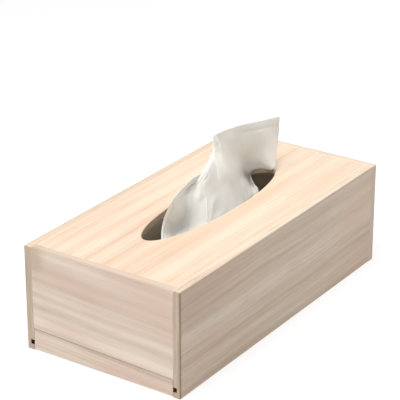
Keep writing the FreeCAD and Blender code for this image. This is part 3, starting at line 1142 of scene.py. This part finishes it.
    def lying(self, spot: float, share: float) -> Vector:
        """Place on the half that lies over the pile and is folded under at its edge.

        Args:
            spot: which rib, counted from 0 at the left.
            share: 0 at the sheet's hidden edge and 1 where it leaves the pile.

        Returns:
            The point, in millimetres.
        """
        x = self.lying_x(spot)
        over = self.fold_y - self.foot_y
        run = (1 - share) * self.length / 2
        if run > over:
            return Vector((x, self.fold_y - (run - over), self.pile_top + self.under_lift))
        wave = self.wave * noise.noise(Vector((x * 0.03, run * 0.05, 4.0)))
        return Vector((x, self.foot_y + run, self.pile_top + self.lift + wave))

    def crinkled(self, across: float, down: float) -> float:
        """How far the sheet stands out at one place.

        Args:
            across: the place in the sheet's width.
            down: its distance from the leading edge.

        Returns:
            Millimetres, from fine crinkles, the pressed hem, the sharp folds and the
            curled side edge.
        """
        soft, fine = (
            noise.noise(Vector((across * scale[0], down * scale[1], shift)))
            for scale, shift in ((self.soft_scale, 1.0), (self.fine_scale, 7.0)))
        crease = math.exp(-((down - self.hem) / self.crease_width) ** 2)
        curl = max(across - self.width + self.curl, 0.0) ** 2 / (2 * self.curl)
        folded = sum(pleat.stands_out(across, down) for pleat in self.pleats)
        return (self.crinkle * (soft + self.fine_share * fine)
                - self.crease_depth * crease + curl + folded)

    def raised(self, shape: bmesh.types.BMesh) -> list[list[bmesh.types.BMVert]]:
        """Lay a flat grid over the pile and raise it through the slot.

        Args:
            shape: an empty mesh, which gets the grid.

        Returns:
            The grid's points, by column from the left and by row from the hidden edge.
        """
        lifted = self.lying_rows + self.rising_rows
        rows = lifted + self.free_rows
        bmesh.ops.create_grid(shape, x_segments=self.columns, y_segments=rows, size=0.5)
        points = sorted(shape.verts, key=lambda vert: (
            round((vert.co.x + 0.5) * self.columns), round((vert.co.y + 0.5) * rows)))
        grid = [points[first:first + rows + 1]
                for first in range(0, len(points), rows + 1)]
        for column, line in enumerate(grid):
            spot = self.rib_spot(column)
            for row, vert in enumerate(line):
                if row < self.lying_rows:
                    vert.co = self.lying(spot, row / self.lying_rows)
                elif row < lifted:
                    vert.co = self.rising(spot, (row - self.lying_rows) / self.rising_rows)
                else:
                    vert.co = self.free(spot, (row - lifted) / self.free_rows)
        return grid

    def rib_spot(self, column: int) -> float:
        """Which rib a column of points is at, counted from 0 at the left."""
        return column / self.columns * (len(self.ribs) - 1)

    def flat_places(self, grid: list[list[bmesh.types.BMVert]]
                    ) -> dict[bmesh.types.BMVert, tuple[float, float]]:
        """Measure where each point lies on the sheet when it is flat.

        Args:
            grid: the raised grid's points, by column and row.

        Returns:
            Millimetres across the sheet and down from its leading edge, by point.
        """
        flat: dict[bmesh.types.BMVert, tuple[float, float]] = {}
        for column, line in enumerate(grid):
            across, down = self.across(self.rib_spot(column)), 0.0
            flat[line[-1]] = (across, down)
            for above, vert in zip(line[::-1], line[-2::-1]):
                down += (above.co - vert.co).length
                flat[vert] = (across, down)
        return flat

    def build(self) -> bpy.types.Object:
        """Make the sheet.

        Returns:
            One closed thin sheet, laid, raised and creased from a flat grid.
        """
        shape = bmesh.new()
        grid = self.raised(shape)
        shape.normal_update()
        flat = self.flat_places(grid)
        for vert, (across, down) in flat.items():
            grown = min(max((vert.co.z - self.smooth_below) / self.crinkles_grow, 0.0), 1.0)
            vert.co = vert.co + vert.normal * self.crinkled(across, down) * grown
        layer = shape.loops.layers.uv.new("sheet")
        for face in shape.faces:
            for loop in face.loops:
                loop[layer].uv = flat[loop.vert]
        bmesh.ops.scale(shape, vec=(MM,) * 3, verts=shape.verts[:])
        sheet = make_piece("pulled_sheet", shape)
        ply = sheet.modifiers.new("plies", "SOLIDIFY")
        ply.thickness = self.thickness * MM
        ply.offset = 0.0
        return sheet


@dataclass
class TissuePile:
    """The part-used pile: interfolded tissues, each rounded where it folds.

    Attributes:
        layers: folded layers that show at the pile's sides.
        gap: the gap between two layers.
        headroom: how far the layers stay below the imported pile's top, for the pulled sheet.
        inset: how far they stay inside its sides.
        unevenness: how far that differs from layer to layer.
        rounding: radius of a folded edge, as a share of the layer.
        cut_every: length of the faces along the pile, which let it sway.
        sway: how far the layers' sides wander.
    """

    layers: int = 14
    gap: float = 0.12
    headroom: float = 1.1
    inset: float = 0.6
    unevenness: float = 0.5
    rounding: float = 0.45
    cut_every: float = 10.0
    sway: float = 0.8

    def build(self) -> bpy.types.Object:
        """Make the pile.

        Returns:
            The stacked layers as one piece.
        """
        low, high = (Vector(corner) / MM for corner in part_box("tissue_stack"))
        thick = (high.z - self.headroom - low.z) / self.layers
        shape = bmesh.new()
        for number in range(self.layers):
            swing = noise.noise(Vector((number * 1.3, 0.5, 0.0)))
            inset = self.inset + self.unevenness * swing
            middle = low.z + (number + 0.5) * thick
            size = Vector((high.x - low.x - 2 * inset, high.y - low.y - 2 * inset,
                           thick - self.gap))
            made = bmesh.ops.create_cube(shape, size=1.0)["verts"]
            bmesh.ops.scale(shape, vec=size, verts=made)
            edges = [e for e in shape.edges if e.verts[0] in made
                     and abs(e.verts[0].co.x - e.verts[1].co.x) > 1.0]
            bmesh.ops.translate(shape, vec=(0, 0, middle), verts=made)
            bmesh.ops.bevel(shape, geom=edges, offset=self.rounding * size.z, segments=3,
                            profile=0.5, affect="EDGES", material=-1)
        cuts = round(high.x / self.cut_every) - 1
        for cut in range(-cuts, cuts + 1):
            geometry = shape.verts[:] + shape.edges[:] + shape.faces[:]
            bmesh.ops.bisect_plane(shape, geom=geometry, plane_no=(1, 0, 0),
                                   plane_co=(cut * self.cut_every, 0, 0))
        for vert in shape.verts:
            swing = noise.noise(Vector((vert.co.x * 0.02, vert.co.z * 0.5, 0.0)))
            vert.co.y += swing * self.sway
        put_in_order(shape)
        bmesh.ops.scale(shape, vec=(MM,) * 3, verts=shape.verts[:])
        return make_piece("tissue_pile", shape, smooth=False)


# ------------------------------------------------------------------------- studio

@dataclass(frozen=True)
class SoftBox:
    """A large soft light that faces the box.

    Attributes:
        name: the light's name.
        azimuth: where it stands round the box, in degrees, with 0 at the front.
        elevation: how high it stands, in degrees.
        distance: how far off it is, in metres.
        size: its diameter, in metres.
        watts: its power.
        colour: its colour.
    """

    name: str
    azimuth: float
    elevation: float
    distance: float
    size: float
    watts: float
    colour: str = "#FFFFFF"


@dataclass
class Studio:
    """White floor, soft lights and the camera.

    Attributes:
        azimuth: where the camera stands round the box, in degrees, with 0 at the front.
        elevation: how high it stands, in degrees.
        distance_widths: how far off it is, in widths of the box.
        right_widths: how far left of the view's middle line it stands, in widths.
        drop_widths: how far above that line it stands, in widths.
        lens: its focal length, in millimetres.
        sensor: its sensor's width, in millimetres.
        floor_reach: how far the floor reaches from the box, in metres.
        sky: strength of the room's even light.
        lights: the soft lights.
    """

    azimuth: float = -55.9
    elevation: float = 23.758
    distance_widths: float = 10.066
    right_widths: float = 0.0511
    drop_widths: float = 0.5731
    lens: float = 159.19
    sensor: float = 36.0
    floor_reach: float = 6.0
    sky: float = 0.21
    lights: tuple[SoftBox, ...] = (
        SoftBox("overhead_light", -100.0, 80.0, 1.5, 1.3, 19.0),
        SoftBox("left_light", -96.0, 48.0, 3.6, 2.3, 46.6),
        SoftBox("right_fill", 72.0, 32.0, 0.9, 0.6, 2.0),
    )

    @staticmethod
    def direction(azimuth: float, elevation: float) -> Vector:
        """Direction from the box to a place.

        Args:
            azimuth: the place's angle round the box, in degrees, with 0 at the front.
            elevation: how high it stands, in degrees.

        Returns:
            A vector of length 1.
        """
        turn, rise = math.radians(azimuth), math.radians(elevation)
        return Vector((math.sin(turn) * math.cos(rise), -math.cos(turn) * math.cos(rise),
                       math.sin(rise)))

    def floor(self) -> None:
        """Lay the floor under the box."""
        shape = bmesh.new()
        bmesh.ops.create_grid(shape, x_segments=1, y_segments=1, size=self.floor_reach)
        piece = make_piece("floor", shape, smooth=False)
        put_on(piece, LightTable().build())
        piece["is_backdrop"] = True

    def light(self) -> None:
        """Set up the soft lights and the even light of the room."""
        for box in self.lights:
            lamp = bpy.data.lights.new(box.name, "AREA")
            lamp.shape, lamp.size, lamp.energy = "DISK", box.size, box.watts
            lamp.color = linear(box.colour)[:3]
            holder = bpy.data.objects.new(box.name, lamp)
            away = self.direction(box.azimuth, box.elevation)
            holder.location = away * box.distance
            holder.rotation_euler = away.to_track_quat("Z", "Y").to_euler()
            bpy.context.scene.collection.objects.link(holder)
        world = bpy.data.worlds.new("room")
        world.use_nodes = True
        world.node_tree.nodes["Background"].inputs["Color"].default_value = (1, 1, 1, 1)
        world.node_tree.nodes["Background"].inputs["Strength"].default_value = self.sky
        bpy.context.scene.world = world

    def camera(self, box_width: float) -> None:
        """Place the camera.

        Args:
            box_width: the box's width in metres, to which its distance is tied.
        """
        back = self.direction(self.azimuth, self.elevation)
        turn = math.radians(self.azimuth)
        right = Vector((math.cos(turn), math.sin(turn), 0.0))
        up = back.cross(right)
        lens = bpy.data.cameras.new("camera")
        lens.lens, lens.sensor_width = self.lens, self.sensor
        holder = bpy.data.objects.new("camera", lens)
        holder.location = (back * self.distance_widths - right * self.right_widths
                           + up * self.drop_widths) * box_width
        holder.rotation_euler = back.to_track_quat("Z", "Y").to_euler()
        bpy.context.scene.collection.objects.link(holder)
        bpy.context.scene.camera = holder


# --------------------------------------------------------------------------- main

def main() -> None:
    """Build every piece on the frame, light it and point the camera at it."""
    logging.basicConfig(level=logging.INFO, format="%(name)s: %(message)s")
    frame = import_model()
    cad_low, cad_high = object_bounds()

    Boards(frame["nodes"]).dress()

    paper = FacialTissue().build()
    pile = TissuePile().build()
    put_on(pile, paper)
    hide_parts("tissue_stack")
    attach(pile, "case")

    tissue = PulledTissue()
    sheet = tissue.build()
    put_on(sheet, paper)
    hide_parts("pulled_tissue")
    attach(sheet, "case")

    studio = Studio()
    studio.floor()
    studio.light()
    studio.camera(cad_high.y - cad_low.y)
    bpy.context.scene.view_settings.view_transform = "Standard"


if __name__ == "__main__":
    main()
